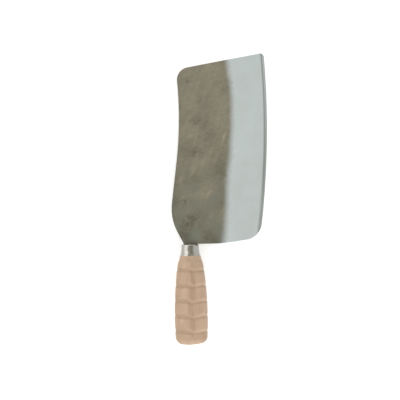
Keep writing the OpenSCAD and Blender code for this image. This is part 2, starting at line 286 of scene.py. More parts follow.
def weld_line(y):
    """How far inside the cutting edge the core comes out from under the soft iron."""
    return (core_half(y) - EDGE_T / 2) / sharp_slope


def ground_shoulder(y):
    """How far inside the cutting edge the ground bevel meets the sharpened edge."""
    rise_left = SHOULDER_T / 2 - EDGE_T / 2 - SHARP_W * bevel_slope - thinning * y
    return rise_left / (sharp_slope - bevel_slope)


def blade_loop(step, edge_inside=None):
    """The blade's outline, anticlockwise, and for each point whether it lies on the cutting edge.
    edge_inside(y) draws the edge that far inside its own place."""
    neck_end = np.array([-NECK_OUT, 0.0])
    heel_corner = circles_meet(heel_centre, HEEL_R - HEEL_CORNER_R, edge_centre, EDGE_R - HEEL_CORNER_R)
    point = line_meets_circle(
        tip_start - left_of(tip_dir) * POINT_R, tip_dir, edge_centre, EDGE_R - POINT_R)
    tip_corner = line_meets_circle(
        tip_start - left_of(tip_dir) * TIP_CORNER_R, tip_dir, hollow_centre, HOLLOW_R + TIP_CORNER_R)
    back_top = hollow_centre + HOLLOW_R * along(-BACK_LEAN)
    hump = line_meets_line(
        neck_end - left_of(neck_dir) * HUMP_R, neck_dir, back_top - left_of(back_dir) * HUMP_R, back_dir)
    heel_arc_end = heel_centre + unit(heel_corner - heel_centre) * HEEL_R
    edge_start = edge_centre + unit(heel_corner - edge_centre) * EDGE_R
    edge_end = edge_centre + unit(point - edge_centre) * EDGE_R
    tip_line_start = point + left_of(tip_dir) * POINT_R
    tip_line_end = tip_corner + left_of(tip_dir) * TIP_CORNER_R
    hollow_start = tip_corner + unit(hollow_centre - tip_corner) * TIP_CORNER_R
    hump_start = hump + left_of(back_dir) * HUMP_R
    hump_end = hump + left_of(neck_dir) * HUMP_R
    fine = step / 3
    runs = [
        straight(neck_end, np.array([HEEL_FLAT, 0.0]), step),
        arc(heel_centre, np.array([HEEL_FLAT, 0.0]), heel_arc_end, step),
        arc(heel_corner, heel_arc_end, edge_start, step),
        arc(edge_centre, edge_start, edge_end, step),
        arc(point, edge_end, tip_line_start, fine),
        straight(tip_line_start, tip_line_end, step),
        arc(tip_corner, tip_line_end, hollow_start, step),
        arc(hollow_centre, hollow_start, back_top, step),
        straight(back_top, hump_start, step),
        arc(hump, hump_start, hump_end, step),
        straight(hump_end, neck_end, step),
    ]
    on_edge = np.concatenate([np.full(len(r), 2 <= i <= 4) for i, r in enumerate(runs)])
    loop = np.concatenate(runs)
    if edge_inside is not None:
        loop = shrink_edge(loop, edge_inside)
    return loop, on_edge


def shrink_edge(loop, inside):
    """Moves what lies nearer to the cutting edge than inside(y) back to that distance."""
    out = loop - edge_centre
    r = np.linalg.norm(out, axis=1)
    most = EDGE_R - inside(loop[:, 1])
    return edge_centre + out * np.minimum(1, most / r)[:, None]


# Numbers that vary over the surface, from a fixed seed

def hills(x, y, size, seed, stretch=1.0):
    """Smooth hills of about that size, from -1 to 1 or a little more. stretch makes them longer
    along y."""
    rng = np.random.default_rng(seed)
    out = np.zeros_like(x, dtype=float)
    for _ in range(HILL_WAVES):
        a, phase, k = rng.uniform(0, math.pi), rng.uniform(0, 2 * math.pi), rng.uniform(0.7, 1.5)
        w = 2 * math.pi * k / size
        out += np.sin(w * (x * math.cos(a) + y * math.sin(a) / stretch) + phase)
    return out / math.sqrt(HILL_WAVES)


def rise(v, low, high):
    t = np.clip((v - low) / (high - low), 0, 1)
    return t * t * (3 - 2 * t)


# How far the grind line wanders towards the edge, at heights above the heel
GRIND_WANDER = (
    (0, 2.9), (8, 2.6), (40, 0.8), (72, -1.6), (85, 0.3), (112, 0.8), (145, 2.2), (172, 2.0), (198, -0.8))

# Dents and deep scale left by the hammer on the upper cheek: place, length, width, turn, depth
FORGE_PITS = (
    (0.0, 179, 4.0, 2.6, 60, 0.6),
    (13.0, 155, 3.4, 2.2, 30, 0.5),
    (3.0, 144, 4.2, 2.4, 50, 0.5),
    (9.0, 134, 7.0, 5.0, 20, 0.6),
    (18.0, 130, 4.2, 3.0, 40, 0.5),
    (-9.0, 149, 3.6, 2.0, 70, 0.6),
    (-8.0, 134, 3.0, 1.8, 30, 0.5),
    (11.0, 98, 8.0, 5.0, 0, 0.7),
    (-6.0, 45, 9.0, 5.0, 20, 0.6),
    (0.0, 24, 12, 8.0, 35, 0.8),
    (-1.5, 23, 6.0, 1.7, 35, 1.0),
    (-6.5, 44, 5.0, 1.3, 35, 0.8),
    (6.0, 96, 7.0, 1.4, 10, 0.6),
)


def waves(x, y, seed, strength, size, own):
    return strength * hills(x, y, size, seed + own)


def blade_surface(x, y, seed):
    """Height of one side above the blade's middle plane, with its tones, for points inside the
    outline. Seed 1 is the upper side."""
    knots = np.array(GRIND_WANDER)
    at = y if seed == 1 else BLADE_LEN - y
    wander = np.mean([np.interp(at + d, knots[:, 0], knots[:, 1]) for d in WANDER_OVER], axis=0)
    from_edge = EDGE_R - np.hypot(x - edge_centre[0], y - edge_centre[1])
    near_grind = np.exp(-((from_edge - GROUND_W) / WANDER_REACH) ** 2)
    forging = sum(waves(x, y, seed, *wave) for wave in FORGED_WAVES)
    forging *= rise(from_edge - GROUND_W - wander, 0, FORGED_IN)
    cheek = BACK_T / 2 - cheek_slope * (x + HOLLOW_OUT) - thinning * y + forging
    cheek -= (bevel_slope - cheek_slope) * wander * near_grind
    bevel = SHOULDER_T / 2 + bevel_slope * (bevel_r - np.hypot(x - bevel_centre[0], y - bevel_centre[1]))
    bevel += waves(x, y, seed, *GROUND_WAVES)
    sharp = EDGE_T / 2 + sharp_slope * from_edge
    fade = FADE_W + FADE_HEEL * (1 - rise(y, 0, FADE_HEEL_TO)) + waves(x, y, seed, *FADE_WAVES)
    fade = (bevel_slope - cheek_slope) * fade
    ground = rise(cheek - bevel, FADE_IN * fade, FADE_OUT * fade)
    z = np.minimum(np.minimum(cheek, bevel), sharp)
    pit = np.zeros_like(z)
    if seed == 1:
        for px, py, length, width, turn, depth in FORGE_PITS:
            a = math.radians(turn)
            u = (x - px) * math.cos(a) + (y - py) * math.sin(a)
            v = -(x - px) * math.sin(a) + (y - py) * math.cos(a)
            pit = np.maximum(pit, depth * np.exp(-((u / length) ** 2 + (v / width) ** 2)))
    pit *= 1 - ground
    z = z - PIT_DEPTH * pit
    tones = {
        "ground": ground, "pit": pit, "tone": np.clip(scale_tone(x, y, from_edge, seed), 0, 1),
        "painted_reflection": REFLECTION_MORE * rise(y, REFLECTION_FROM, REFLECTION_FULL) + REFLECTION_AT_HEEL,
        "tarnish": (1 - rise(y, TARNISH_FROM, TARNISH_TO)) * (TARNISH + waves(x, y, seed, *TARNISH_WAVES)),
        "from_edge": from_edge}
    tones["tarnish"] = np.clip(tones["tarnish"], 0, 1)
    return z, tones


def scale_tone(x, y, from_edge, seed):
    """Tone of the forge scale: darker near the heel, along the lower back and just before the
    grind line, lighter to the tip, with thin, faint streaks where the hammer drew it out."""
    tone = SCALE_TONE
    for wave in SCALE_WAVES:
        tone = tone + waves(x, y, seed, *wave)
    tone += TIP_LIGHTER * rise(y, TIP_FROM, TIP_FULL)
    tone -= HEEL_DARKER * (1 - rise(y, 0, HEEL_TO))
    before_grind = np.exp(-((from_edge - GROUND_W - GRIND_DARK_IN) / GRIND_DARK_IN) ** 2)
    tone -= GRIND_DARKER * (1 - rise(y, GRIND_DARK_FROM, GRIND_DARK_TO)) * before_grind
    on_hump = np.exp(-((x - HUMP_DARK_AT) / HUMP_DARK_W) ** 2)
    tone -= HUMP_DARKER * (1 - rise(y, HUMP_DARK_FROM, HUMP_DARK_TO)) * on_hump
    across, lean, along_y = STREAK_ALONG
    streak = hills(x * across + y * lean, y * along_y, STREAK_SIZE, seed + STREAK_SEED)
    patches = hills(x, y, STREAK_PATCHES, seed + STREAK_PATCH_SEED)
    streak = np.clip(streak, 0, STREAK_MOST) * rise(patches, STREAK_PATCH_FROM, STREAK_PATCH_FULL)
    tone += STREAK * streak * (1 - rise(y, STREAK_FADE_FROM, STREAK_FADE_TO) * STREAK_FADE)
    return tone


# Meshes

def make_object(name, verts, faces, matrix, tones=None, sharp_angle=40):
    mesh = bpy.data.meshes.new(name)
    mesh.from_pydata([tuple(v) for v in np.asarray(verts) * MM], [], faces)
    mesh.transform(matrix)
    for key, values in (tones or {}).items():
        attribute = mesh.attributes.new(key, "FLOAT", "POINT")
        attribute.data.foreach_set("value", np.asarray(values, dtype=np.float32))
    bm = bmesh.new()
    bm.from_mesh(mesh)
    bmesh.ops.remove_doubles(bm, verts=bm.verts, dist=SAME_POINT * MM)
    bmesh.ops.recalc_face_normals(bm, faces=bm.faces)
    bm.to_mesh(mesh)
    bm.free()
    mesh.shade_smooth()
    mesh.set_sharp_from_angle(angle=math.radians(sharp_angle))
    obj = bpy.data.objects.new(name, mesh)
    bpy.context.scene.collection.objects.link(obj)
    return obj


def inside_loop(p, loop):
    a, b = loop, np.roll(loop, -1, axis=0)
    odd = np.zeros(len(p), dtype=bool)
    for (ax, ay), (bx, by) in zip(a, b):
        crosses = (ay > p[:, 1]) != (by > p[:, 1])
        if by != ay:
            odd ^= crosses & (p[:, 0] < ax + (p[:, 1] - ay) * (bx - ax) / (by - ay))
    return odd


def distance_to(p, points):
    best = np.full(len(p), 1e9)
    for q in points:
        best = np.minimum(best, (p[:, 0] - q[0]) ** 2 + (p[:, 1] - q[1]) ** 2)
    return np.sqrt(best)


def inset(loop, d):
    tangent = np.roll(loop, -1, axis=0) - np.roll(loop, 1, axis=0)
    tangent /= np.linalg.norm(tangent, axis=1)[:, None]
    return loop + d * np.stack([-tangent[:, 1], tangent[:, 0]], axis=1)


def filled(loop, extra, step):
    """Triangles that fill the loop, with a grid of points inside and the extra points; and where
    the loop's own points are among them."""
    low, high = loop.min(axis=0), loop.max(axis=0)
    gx, gy = np.meshgrid(np.arange(low[0], high[0], step), np.arange(low[1], high[1], step * ROW_APART))
    gx[1::2] += step / 2
    grid = np.stack([gx.ravel(), gy.ravel()], axis=1)
    keep = np.concatenate([extra[inside_loop(extra, loop)], grid[inside_loop(grid, loop)]])
    far = distance_to(keep, loop)
    is_extra = np.arange(len(keep)) < np.count_nonzero(inside_loop(extra, loop))
    keep = keep[(far > step * GRID_GAP) | (is_extra & (far > RING_GAP))]
    points = [Vector(p) for p in np.concatenate([loop, keep])]
    n = len(loop)
    rim = [(i, (i + 1) % n) for i in range(n)]
    verts, _, faces, came_from, _, _ = geometry.delaunay_2d_cdt(points, rim, [], 1, CLOSE)
    now = {old: new for new, olds in enumerate(came_from) for old in olds}
    return np.array([tuple(v) for v in verts]), [tuple(f) for f in faces], [now[i] for i in range(n)]


def soft_iron_layer(name, side, seed, step, matrix):
    """One soft iron layer: its outer face as forged and ground, its rounded rim and its flat
    inner face."""
    loop, on_edge = blade_loop(step, weld_line)
    rings = [inset(loop, d) for d in RIM_RINGS]
    shoulder = blade_loop(step, ground_shoulder)[0]
    flat, faces, ids = filled(loop, np.concatenate([*rings, shoulder]), step)
    x, y = flat.T
    z, tones = blade_surface(x, y, seed)
    rim_gap = distance_to(flat, loop[~on_edge])
    drop = BACK_ROUND - np.sqrt(np.maximum(0, BACK_ROUND ** 2 - np.maximum(0, BACK_ROUND - rim_gap) ** 2))
    drop *= rise(tones["from_edge"], BACK_ROUND_FROM, BACK_ROUND_FULL)
    z = np.maximum(z - drop, core_half(y))
    tones["line"] = shoulder_line(tones["from_edge"], y)
    top = np.column_stack([x, y, side * z])
    n = len(loop)
    wall = np.column_stack([loop, side * core_half(loop[:, 1])])
    verts = np.concatenate([top, wall])
    base = len(top)
    rim_faces = [
        (ids[i], ids[(i + 1) % n], base + (i + 1) % n, base + i) for i in range(n)
    ]
    faces = faces + rim_faces + [tuple(base + i for i in range(n))]
    tones = {k: np.concatenate([v, v[ids]]) for k, v in tones.items() if k != "from_edge"}
    return make_object(name, verts, faces, matrix, tones)


def hard_core(name, step, matrix):
    """The hard core layer between the two, bare at the sharpened edge."""
    loop, on_edge = blade_loop(step)
    weld = blade_loop(step, weld_line)[0]
    flat, faces, ids = filled(loop, np.concatenate([weld, inset(loop, CORE_RING)]), CORE_COARSER * step)
    x, y = flat.T
    from_edge = EDGE_R - np.hypot(x - edge_centre[0], y - edge_centre[1])
    z = np.minimum(core_half(y), EDGE_T / 2 + sharp_slope * from_edge)
    m = len(flat)
    verts = np.concatenate([np.column_stack([flat, z]), np.column_stack([flat, -z])])
    n = len(loop)
    faces = faces + [tuple(m + i for i in reversed(f)) for f in faces] + [
        (ids[i], m + ids[i], m + ids[(i + 1) % n], ids[(i + 1) % n]) for i in range(n)
    ]
    line = shoulder_line(from_edge, y)
    return make_object(name, verts, faces, matrix, {"line": np.concatenate([line, line])})


def turned(name, rows, matrix, tones=None, sharp_angle=40):
    """A closed ring of rows: rows[k] holds (x, y, z) for every column, from the outside to the
    inside."""
    k, c = rows.shape[:2]
    verts = rows.reshape(-1, 3)
    faces = []
    for i in range(k):
        below = (i + 1) % k
        for j in range(c):
            across = (j + 1) % c
            faces.append((i * c + j, i * c + across, below * c + across, below * c + j))
    return make_object(name, verts, faces, matrix, tones, sharp_angle)


def round_rows(profile, columns, wobble=None):
    """Rows of points for a turned profile of (radius, y)."""
    turn = 2 * math.pi * np.arange(columns) / columns
    r, y = (np.array(profile)[:, i, None] + 0 * turn for i in (0, 1))
    if wobble is not None:
        r = r + wobble(turn + 0 * r, y)
    return np.stack([r * np.sin(turn), y, r * np.cos(turn)], axis=2)


def drawn_ferrule(name, matrix):
    """Sheet steel drawn over the neck: flat top, round shoulder, short collar and a flared mouth."""
    collar_r = COLLAR_D / 2
    flare_y = -SHOULDER_R - COLLAR_LEN
    drop = flare_y + FERRULE_LEN
    flare_r = (drop ** 2 + (FLARE / 2) ** 2) / FLARE

    def side(inside):
        turns = np.radians(np.linspace(90, 0, FERRULE_CORNER_ROWS))
        r = SHOULDER_R - inside
        corner = [(collar_r - SHOULDER_R + r * math.cos(a), -SHOULDER_R + r * math.sin(a)) for a in turns]
        flare = [
            (collar_r + flare_r - math.sqrt((flare_r + inside) ** 2 - (y - flare_y) ** 2), y)
            for y in np.linspace(flare_y, -FERRULE_LEN, FERRULE_FLARE_ROWS)
        ]
        return [(FERRULE_TOP_IN, -inside)] + corner + flare

    profile = side(0) + side(SHEET_T)[::-1]

    def wobble(turn, y):
        return DENT * hills(turn * collar_r, y, DENT_SIZE, DENT_SEED) * rise(-y, DENT_FROM, DENT_FULL)

    ferrule = turned(name, round_rows(profile, FERRULE_COLUMNS, wobble), matrix)
    cut = bpy.data.meshes.new(name + "_slot")
    bm = bmesh.new()
    slot_box = Matrix.Diagonal((SLOT_W * MM, SLOT_REACH * MM, SLOT_T * MM, 1))
    bmesh.ops.create_cube(bm, size=1, matrix=matrix @ slot_box)
    bm.to_mesh(cut)
    bm.free()
    cutter = bpy.data.objects.new(name + "_slot", cut)
    bpy.context.scene.collection.objects.link(cutter)
    slot = ferrule.modifiers.new("slot", "BOOLEAN")
    slot.object, slot.operation, slot.solver = cutter, "DIFFERENCE", "EXACT"
    bpy.context.view_layer.update()
    evaluated = ferrule.evaluated_get(bpy.context.evaluated_depsgraph_get())
    cut_mesh = bpy.data.meshes.new_from_object(evaluated)
    ferrule.modifiers.clear()
    ferrule.data = cut_mesh
    bpy.data.objects.remove(cutter)
    return ferrule


# The handle's side: one long arc through the belly, and a rounder arc up to the ferrule
wood_top = -FERRULE_LEN
butt_y = wood_top - GRIP_LEN
belly_r = BELLY_D / 2
round_y = wood_top - ROUND_LEN
swell_centre = np.array([belly_r - SWELL_R, wood_top - BELLY_AT])
mouth_r = (COLLAR_D + FLARE) / 2
wood_top_r = mouth_r + WOOD_STEP
swell_out = math.sqrt(SWELL_R ** 2 - (round_y - swell_centre[1]) ** 2)
round_start = np.array([swell_centre[0] + swell_out, round_y])
round_in = unit(swell_centre - round_start)
round_chord = np.array([wood_top_r, wood_top]) - round_start
round_r = round_chord @ round_chord / (2 * round_chord @ round_in)
round_centre = round_start + round_in * round_r
ring_ys = wood_top - RING_FIRST - RING_STEP * np.arange(RING_COUNT)


def stock_r(y):
    swell = swell_centre[0] + np.sqrt(np.maximum(0, SWELL_R ** 2 - (y - swell_centre[1]) ** 2))
    upper = round_centre[0] + np.sqrt(np.maximum(0, round_r ** 2 - (y - round_centre[1]) ** 2))
    return np.where(y < round_y, swell, upper)


def chord_r(turn, a1, r1, a2, r2):
    """Distance from the axis, at the angle turn, of the straight line between two corners."""
    return r1 * r2 * np.sin(a2 - a1) / (r1 * np.sin(turn - a1) + r2 * np.sin(a2 - turn))


def tile_place(turn, lean):
    """Angle of a whole tile, of its falling face, and the place of the angle turn within its tile."""
    step = 2 * math.pi / TILE_COUNT
    return step, math.radians(TILE_FALL), (turn - math.radians(TILE_TURN) - lean) % step


def tile_r(turn, r, lean):
    """Radius of the tiled section: for each tile a narrow falling face and a crowned, rising one."""
    step, fall, within = tile_place(turn, lean)
    low = r * (1 - TILE_DEPTH / belly_r)
    flat = (low + r) / 2 * math.cos((step - fall) / 2)
    crown = flat + r * TILE_CROWN / belly_r
    middle = (fall + step) / 2
    return np.where(
        within < fall, chord_r(within, 0, r, fall, low),
        np.where(within < middle, chord_r(within, fall, low, middle, crown),
                 chord_r(within, middle, crown, step, r)))


def soft_min(a, b, k):
    """The lesser of two radii, eased over k so that no cut has a knife edge."""
    h = np.clip(0.5 + 0.5 * (b - a) / k, 0, 1)
    return b + (a - b) * h - k * h * (1 - h)


def carved_side(turn, end_y):
    """The handle's carved side, from the ferrule down to end_y at each angle: the points' angles,
    heights and radii, and there its painted shade, grime round the butt and painted light in the grooves."""
    y = wood_top + np.linspace(0, 1, HANDLE_ROWS)[:, None] * (end_y[None, :] - wood_top)
    angle = turn[None, :] + 0 * y
    stock = stock_r(y)
    row = np.searchsorted(-ring_ys, -y)
    lean = np.radians(np.array(ROW_LEAN))[row]
    step, fall, within = tile_place(angle, lean)
    tiled = rise(wood_top - y, TILED_FROM, TILED_FULL)
    tiles = (stock + UNTILED_OUT) * (1 - tiled) + tile_r(angle, stock + TILE_OUT, lean) * tiled
    r = soft_min(stock + 0 * angle, tiles, TILE_EASE)
    r -= TOP_WORN * np.exp(-((wood_top - y - TOP_WORN_AT) / TOP_WORN_W) ** 2)
    # The ring grooves: painted shade on the side away from the edge, painted light on the other, and
    # painted shade along the bottom
    depth = RING_DEPTH * (1 - RING_SHALLOWER * np.sin(angle) ** 4)
    cut_r = RING_W ** 2 / (8 * depth) + depth / 2
    away_side = 0.5 - 0.5 * np.sin(angle + AWAY_SIDE_TURN)
    above = RING_ABOVE + RING_AWAY_SIDE * away_side ** 2
    jog = (within / step - rise(within, 0, RING_STEP_OVER * fall)) * np.maximum(0, np.cos(angle))
    grime_and_shade, groove_light = np.zeros_like(y), np.zeros_like(y)
    for ring_y, step_out in zip(ring_ys, RING_STEP_OUT):
        waver = sum(high * np.sin(count * angle + own * ring_y) for high, count, own in RING_WAVER)
        dy = y - ring_y - waver - step_out * jog
        bottom = np.exp(-((dy + BOTTOM_BELOW) / BOTTOM_HALF) ** 2)
        dy = np.where(dy > 0, dy / above, -dy / RING_BELOW)
        round_cut = np.sqrt(np.maximum(0, cut_r ** 2 - np.minimum(dy, cut_r) ** 2))
        wall = np.where(dy < cut_r, stock_r(ring_y) - depth + cut_r - round_cut, stock + NO_GROOVE)
        in_ring = rise(r - wall, -RING_TONE_OUT, 0)
        # painted shade in the groove on the side away from the edge, and along its bottom
        ring_shade = np.maximum(np.minimum(1, RING_SHADE * away_side) * in_ring, BOTTOM_SHADE * bottom)
        grime_and_shade = np.maximum(grime_and_shade, ring_shade)
        # painted light on the groove on the side towards the edge, above its bottom
        groove_light = np.maximum(groove_light, in_ring * (1 - away_side) * (1 - bottom))
        r = soft_min(r, wall, RING_EASE)
    r += KNIFE_MARK * hills(angle * belly_r, y, KNIFE_MARK_SIZE, KNIFE_MARK_SEED, stretch=KNIFE_MARK_LONG)
    # Painted shade on the falling faces, most of it on top, and grime round the butt
    falling = rise(within, 0, FALL_SHADE_FROM) * (1 - rise(within, fall - FALL_SHADE_IN, fall + FALL_SHADE_OUT))
    falling = falling * tiled * np.array(ROW_FALL_SHADE)[row]
    falling *= FALL_SHADE_AT_SIDE + (1 - FALL_SHADE_AT_SIDE) * np.cos(angle) ** 4
    handled = BUTT_GRIME * (1 - rise(y - end_y[None, :], 0, BUTT_GRIME_TO))
    grime_and_shade = np.maximum(grime_and_shade, np.maximum(falling, handled))
    return angle, y, r, grime_and_shade, groove_light


def carved_handle(name, matrix):
    """Turned stick cut into rows of tiles, with ring grooves between the rows and a rounded,
    slanted butt that has a seat and a bore in it."""
    turn = 2 * math.pi * np.arange(HANDLE_COLUMNS) / HANDLE_COLUMNS
    slant = math.tan(math.radians(BUTT_SLANT))
    end_r = float(stock_r(np.array(butt_y + BUTT_R))) - BUTT_IN
    corner_r = BUTT_R * (1 - BUTT_UNEVEN * np.sin(turn))
    end_y = butt_y + slant * end_r * np.sin(turn) + corner_r
    angle, y, r, grime_and_shade, groove_light = carved_side(turn, end_y)
    rows = [np.stack([r * np.sin(angle), y, r * np.cos(angle)], axis=2)]

    def add_row(ring, ys):
        rows.append(np.stack([ring * np.sin(turn), ys, ring * np.cos(turn)], axis=1)[None])

    last_r = r[-1]
    for a in np.radians(np.linspace(0, 90, BUTT_ROWS)[1:]):
        ring = last_r - corner_r + corner_r * math.cos(a)
        add_row(ring, end_y - corner_r * math.sin(a) + slant * (ring - end_r) * np.sin(turn))
    face_r = last_r - corner_r
    for part in BUTT_FACE_ROWS:
        ring = face_r + (SEAT_D / 2 - face_r) * part
        add_row(ring, butt_y + slant * ring * np.sin(turn))
    seat_y = butt_y + SEAT_DEPTH
    inner = [(SEAT_D / 2, seat_y), (BORE_D / 2, seat_y), (BORE_D / 2, wood_top),
             (mouth_r - BORE_MOUTH_IN, wood_top)]
    rows.append(round_rows(inner, HANDLE_COLUMNS))
    rows = np.concatenate(rows)
    rest = np.ones(rows.shape[0] * rows.shape[1] - y.size)
    tones = {"grime_and_shade": np.append(grime_and_shade, BUTT_GRIME * rest), "groove_light": np.append(groove_light, 0 * rest)}
    return turned(name, rows, matrix, tones, 50)


# Materials. In a Mix node the sockets 2 and 3 take numbers, 6 and 7 colours.

# How strongly each pattern shows in its material's colour
GRAIN_SHOWS = 0.55
HAZE_SHOWS = 0.7
FIBRE_SHOWS = 0.5
GROOVE_LIGHT_SHOWS = 0.32
GRIME_AND_SHADE_SHOWS = 0.5


def linear(hex_colour):
    parts = [int(hex_colour[i:i + 2], 16) / 255 for i in (1, 3, 5)]
    return tuple(c / 12.92 if c <= 0.04045 else ((c + 0.055) / 1.055) ** 2.4 for c in parts) + (1.0,)


def add(tree, kind, inputs=None, **settings):
    """Adds a node with its settings. A socket among the inputs is linked, anything else is set."""
    made = tree.nodes.new(kind)
    for key, value in settings.items():
        setattr(made, key, value)
    for key, value in (inputs or {}).items():
        if isinstance(value, bpy.types.NodeSocket):
            tree.links.new(value, made.inputs[key])
        else:
            made.inputs[key].default_value = value
    return made


def new_material(name):
    material = bpy.data.materials.new(name)
    material.use_nodes = True
    material.node_tree.nodes.clear()
    return material, material.node_tree


def per_mm(size):
    """Texture scale at which a pattern repeats about every so many millimetres."""
    return 1 / (size * MM)


def forged_iron():
    """Soft iron as it leaves the hammer and the grinding wheel: on the cheek a matt, brown-grey
    forge scale with darker pits and a green tarnish near the heel, on the bevel bare steel with a
    fine grind."""
    material, tree = new_material("soft_iron_forged_and_ground")
    place = add(tree, "ShaderNodeTexCoord").outputs["Object"]
    ground = add(tree, "ShaderNodeAttribute", attribute_name="ground").outputs["Fac"]
    pit = add(tree, "ShaderNodeAttribute", attribute_name="pit").outputs["Fac"]
    tone = add(tree, "ShaderNodeAttribute", attribute_name="tone").outputs["Fac"]
    line = add(tree, "ShaderNodeAttribute", attribute_name="line").outputs["Fac"]
    painted_reflection = add(tree, "ShaderNodeAttribute", attribute_name="painted_reflection").outputs["Fac"]
    tarnish = add(tree, "ShaderNodeAttribute", attribute_name="tarnish").outputs["Fac"]
    grain = add(tree, "ShaderNodeTexNoise", {
        "Vector": place, "Scale": per_mm(2.4), "Detail": 6.0, "Roughness": 0.65})
    grained = add(tree, "ShaderNodeMath", {0: grain.outputs["Fac"], 1: -0.5}, operation="ADD")
    grained = add(tree, "ShaderNodeMath", {
        0: grained.outputs[0], 1: GRAIN_SHOWS, 2: tone}, operation="MULTIPLY_ADD")
    scale = add(tree, "ShaderNodeValToRGB", {"Fac": grained.outputs[0]})
    ramp = scale.color_ramp
    ramp.elements[0].position, ramp.elements[0].color = 0.0, linear("#565444")
    ramp.elements[1].position, ramp.elements[1].color = 1.0, linear("#958E79")
    middle = ramp.elements.new(0.55)
    middle.color = linear("#7B7663")
    greened = add(tree, "ShaderNodeMix", {
        "Factor": tarnish, 6: scale.outputs["Color"], 7: linear("#757666")}, data_type="RGBA")
    broken = add(tree, "ShaderNodeTexNoise", {
        "Vector": place, "Scale": per_mm(5), "Detail": 3.0, "Roughness": 0.6, "Distortion": 1.2})
    broken = add(tree, "ShaderNodeMapRange", {
        "Value": broken.outputs["Fac"], "From Min": 0.42, "From Max": 0.62, "To Min": 0.25})
    pitting = add(tree, "ShaderNodeMath", {0: pit, 1: broken.outputs[0]}, operation="MULTIPLY")
    pitted = add(tree, "ShaderNodeMix", {
        "Factor": pitting.outputs[0], 6: greened.outputs[2], 7: linear("#484639")}, data_type="RGBA")
    haze = add(tree, "ShaderNodeTexNoise", {"Vector": place, "Scale": per_mm(16), "Detail": 3.0})
    hazy = add(tree, "ShaderNodeMath", {
        # painted reflection: the bare steel gets lighter towards the tip
        0: haze.outputs["Fac"], 1: HAZE_SHOWS, 2: painted_reflection}, operation="MULTIPLY_ADD")
    steel = add(tree, "ShaderNodeMix", {
        "Factor": hazy.outputs[0], 6: linear("#D4D9DA"), 7: linear("#E4EEF1")}, data_type="RGBA")
    skin = add(tree, "ShaderNodeMix", {
        "Factor": ground, 6: pitted.outputs[2], 7: steel.outputs[2]}, data_type="RGBA")
    lined = add(tree, "ShaderNodeMath", {0: line, 1: LINE_STRENGTH}, operation="MULTIPLY")
    colour = add(tree, "ShaderNodeMix", {
        "Factor": lined.outputs[0], 6: skin.outputs[2], 7: linear(LINE_COLOUR)}, data_type="RGBA")
    rough = add(tree, "ShaderNodeMapRange", {"Value": ground, "To Min": 0.6, "To Max": 0.58})
    scratches = add(tree, "ShaderNodeMapping", {"Vector": place, "Scale": (0.05, 1, 1)})
    grind = add(tree, "ShaderNodeTexNoise", {
        "Vector": scratches.outputs[0], "Scale": per_mm(0.7), "Detail": 2.0})
    relief = add(tree, "ShaderNodeMix", {
        "Factor": ground, 2: grain.outputs["Fac"], 3: grind.outputs["Fac"]}, data_type="FLOAT")
    strength = add(tree, "ShaderNodeMapRange", {"Value": ground, "To Min": 0.5, "To Max": 0.06})
    bump = add(tree, "ShaderNodeBump", {
        "Height": relief.outputs[0], "Strength": strength.outputs[0], "Distance": 0.25 * MM})
    shader = add(tree, "ShaderNodeBsdfPrincipled", {
        "Base Color": colour.outputs[2], "Roughness": rough.outputs[0], "Metallic": ground,
        "Normal": bump.outputs[0]})
    add(tree, "ShaderNodeOutputMaterial", {"Surface": shader.outputs[0]})
    return material


def honed_steel():
    """Hard carbon steel, ground and honed: a bright, narrow band along the edge, with part of the
    dark line at its shoulder."""
    material, tree = new_material("carbon_steel_honed")
    place = add(tree, "ShaderNodeTexCoord").outputs["Object"]
    line = add(tree, "ShaderNodeAttribute", attribute_name="line").outputs["Fac"]
    haze = add(tree, "ShaderNodeTexNoise", {"Vector": place, "Scale": per_mm(5), "Detail": 3.0})
    steel = add(tree, "ShaderNodeMix", {
        "Factor": haze.outputs["Fac"], 6: linear("#BFC6C7"), 7: linear("#CAD1D1")}, data_type="RGBA")
    lined = add(tree, "ShaderNodeMath", {0: line, 1: LINE_STRENGTH}, operation="MULTIPLY")
    colour = add(tree, "ShaderNodeMix", {
        "Factor": lined.outputs[0], 6: steel.outputs[2], 7: linear(LINE_COLOUR)}, data_type="RGBA")
    hone = add(tree, "ShaderNodeTexNoise", {"Vector": place, "Scale": per_mm(0.5), "Detail": 2.0})
    bump = add(tree, "ShaderNodeBump", {
        "Height": hone.outputs["Fac"], "Strength": 0.08, "Distance": 0.1 * MM})
    shader = add(tree, "ShaderNodeBsdfPrincipled", {
        "Base Color": colour.outputs[2], "Roughness": 0.5, "Metallic": 1.0, "Normal": bump.outputs[0]})
    add(tree, "ShaderNodeOutputMaterial", {"Surface": shader.outputs[0]})
    return material


def bright_sheet():
    """Drawn sheet steel, polished by hand: mirrors the lights softly, with faint rub marks."""
    material, tree = new_material("sheet_steel_polished")
    place = add(tree, "ShaderNodeTexCoord").outputs["Object"]
    rubbed = add(tree, "ShaderNodeTexNoise", {"Vector": place, "Scale": per_mm(3), "Detail": 5.0})
    steel = add(tree, "ShaderNodeMix", {
        "Factor": rubbed.outputs["Fac"], 6: linear("#AAA8A1"), 7: linear("#B8B6AF")}, data_type="RGBA")
    rough = add(tree, "ShaderNodeMapRange", {"Value": rubbed.outputs["Fac"], "To Min": 0.2, "To Max": 0.34})
    bump = add(tree, "ShaderNodeBump", {
        "Height": rubbed.outputs["Fac"], "Strength": 0.1, "Distance": 0.15 * MM})
    shader = add(tree, "ShaderNodeBsdfPrincipled", {
        "Base Color": steel.outputs[2], "Roughness": rough.outputs[0], "Metallic": 1.0,
        "Normal": bump.outputs[0]})
    add(tree, "ShaderNodeOutputMaterial", {"Surface": shader.outputs[0]})
    return material


